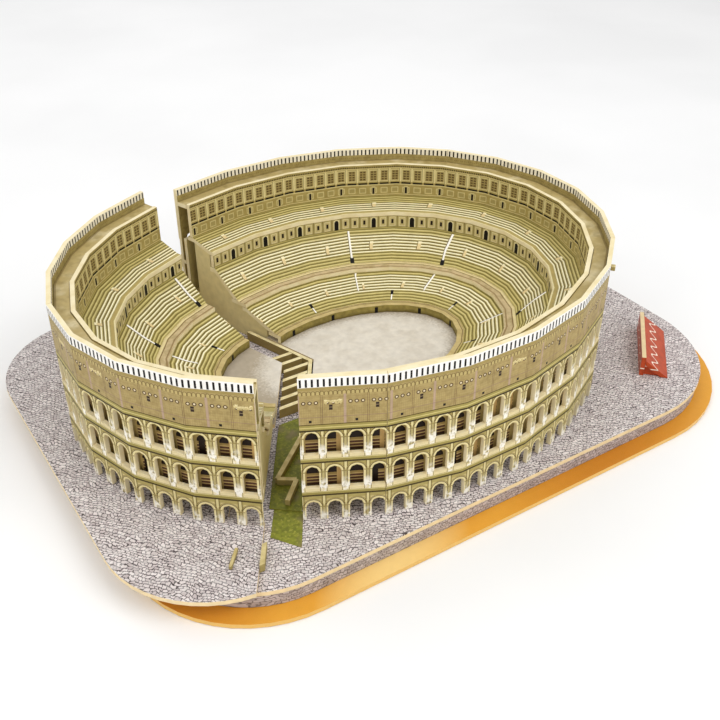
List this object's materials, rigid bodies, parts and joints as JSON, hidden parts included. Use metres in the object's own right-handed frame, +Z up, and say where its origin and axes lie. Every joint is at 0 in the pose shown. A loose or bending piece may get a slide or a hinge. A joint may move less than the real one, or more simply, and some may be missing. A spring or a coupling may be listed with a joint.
{
  "type": "foam board amphitheatre model",
  "caption": "Foam-board model of an oval arcaded amphitheatre on a display base, with a left section that slides away to show the trench under the arena.",
  "frame": {"origin": "under the centre of the arena's oval, on the underside of the gold bottom board", "axes": "+X along the base towards the nameplate end, +Y towards the back of the base, +Z up"},
  "size_m": [0.4007, 0.292, 0.1035],
  "materials": {
    "gold_print": "glossy printed",
    "cobble_print": "satin printed",
    "facade_print": "satin printed",
    "seating_print": "satin printed",
    "arena_print": "satin printed",
    "trench_print": "satin printed",
    "grass_print": "satin printed",
    "nameplate_print": "satin printed"
  },
  "bodies": {
    "base_and_right_section": {"base_cobble_board": "cobble_print", "gold_base_board": "gold_print", "nameplate_back": "nameplate_print", "nameplate_face": "nameplate_print", "nameplate_far_cheek": "nameplate_print", "nameplate_near_cheek": "nameplate_print", "right_arena_floor": "arena_print", "right_attic_inner_wall": "seating_print", "right_back_end_wall": "seating_print", "right_door_wall": "seating_print", "right_facade_1": "facade_print", "right_facade_2": "facade_print", "right_facade_3": "facade_print", "right_facade_4": "facade_print", "right_front_end_wall": "seating_print", "right_gallery_back_wall": "facade_print", "right_lower_gallery_floor": "facade_print", "right_lower_seating": "seating_print", "right_middle_ledge": "seating_print", "right_middle_seating": "seating_print", "right_podium": "seating_print", "right_seat_rib_1": "seating_print", "right_seat_rib_2": "seating_print", "right_seat_rib_3": "seating_print", "right_upper_gallery_floor": "facade_print", "right_upper_seating": "seating_print", "right_wall_walk": "seating_print", "riser_back_left": "cobble_print", "riser_back_right": "cobble_print", "riser_front_left": "cobble_print", "riser_front_right": "cobble_print", "trench_cross_wall_1": "trench_print", "trench_cross_wall_2": "trench_print", "trench_cross_wall_3": "trench_print", "trench_cross_wall_4": "trench_print", "trench_cross_wall_5": "trench_print", "trench_cross_wall_6": "trench_print", "trench_cross_wall_7": "trench_print", "trench_grass_mat": "grass_print", "trench_ruin_wall": "trench_print", "trench_side_wall": "trench_print"},
    "left_section": {"left_arena_floor": "arena_print", "left_attic_inner_wall": "seating_print", "left_back_end_wall": "seating_print", "left_cobble_board": "cobble_print", "left_door_wall": "seating_print", "left_edge_rail": "trench_print", "left_facade_1": "facade_print", "left_facade_2": "facade_print", "left_front_end_wall": "seating_print", "left_gallery_back_wall": "facade_print", "left_lower_gallery_floor": "facade_print", "left_lower_seating": "seating_print", "left_middle_ledge": "seating_print", "left_middle_seating": "seating_print", "left_podium": "seating_print", "left_seat_rib_1": "seating_print", "left_upper_gallery_floor": "facade_print", "left_upper_seating": "seating_print", "left_wall_walk": "seating_print"}
  },
  "joints": [
    {"name": "left_section_slide", "type": "slide", "parent": "base_and_right_section", "child": "left_section", "axis": [0.9865, -0.1637, 0], "range_m": [0, 0.0199]}
  ]
}
